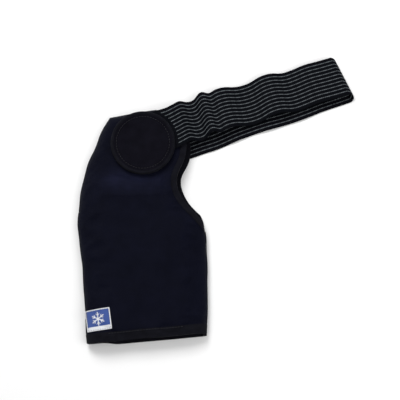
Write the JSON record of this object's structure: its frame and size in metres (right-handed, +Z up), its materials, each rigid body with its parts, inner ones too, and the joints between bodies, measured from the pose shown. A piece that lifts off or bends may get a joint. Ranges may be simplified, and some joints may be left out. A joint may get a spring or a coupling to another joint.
{
  "type": "shoulder cold compression wrap",
  "caption": "Neoprene shoulder and upper-arm sleeve with an elastic chest strap, a round hook-and-loop tab and a gel pack that slides into an inner pocket.",
  "frame": {"origin": "on the surface the wrap lies on, under the middle of the arm tube", "axes": "+X across the sleeve towards the armpit side, +Y up the arm towards the shoulder, +Z up from the surface"},
  "size_m": [0.4096, 0.4367, 0.0328],
  "materials": {
    "neoprene": "matt knitted jersey over foam rubber",
    "binding_tape": "matt woven tape",
    "seam_tape": "matt flat-locked tape",
    "thread": "satin polyester thread",
    "label": "satin woven label",
    "loop_pile": "brushed pile",
    "pocket_mesh": "matt open knit",
    "elastic_webbing": "ribbed elastic with pale woven lines",
    "hook_tape": "matt hook tape",
    "pack_film": "satin film",
    "gel": "glossy gel"
  },
  "bodies": {
    "sleeve": {"front_panel": "neoprene", "back_panel": "neoprene", "arm_binding": "binding_tape", "neck_binding_front": "binding_tape", "neck_binding_back": "binding_tape", "shoulder_seam_tape": "seam_tape", "outer_arm_seam_tape": "seam_tape", "underarm_seam_tape": "seam_tape", "arm_binding_stitches": "thread", "strap_root_stitches": "thread", "woven_label": "label", "loop_pad": "loop_pile", "pack_pocket": "pocket_mesh", "pocket_mouth_tape": "binding_tape", "strap_lower": "elastic_webbing"},
    "strap_front": {"strap_upper": "elastic_webbing"},
    "closure_tab": {"tab_tongue": "elastic_webbing", "tab_pad": "neoprene", "tab_binding": "binding_tape", "hook_disc": "hook_tape", "tab_stitches": "thread"},
    "gel_pack": {"pack_pouch": "pack_film", "gel_fill": "gel"}
  },
  "joints": [
    {"name": "strap_unfold", "type": "hinge", "parent": "sleeve", "child": "strap_front", "pos_m": [0.29652, 0.31226, 0.0064], "axis": [-0.2924, 0.9563, 0], "range_deg": [0, 150]},
    {"name": "tab_peel", "type": "hinge", "parent": "strap_front", "child": "closure_tab", "pos_m": [0.04358, 0.23492, 0.0285], "axis": [-0.2924, 0.9563, 0], "range_deg": [0, 90]},
    {"name": "pack_slide", "type": "slide", "parent": "sleeve", "child": "gel_pack", "axis": [0, -1, 0], "range_m": [0, 0.3]}
  ]
}
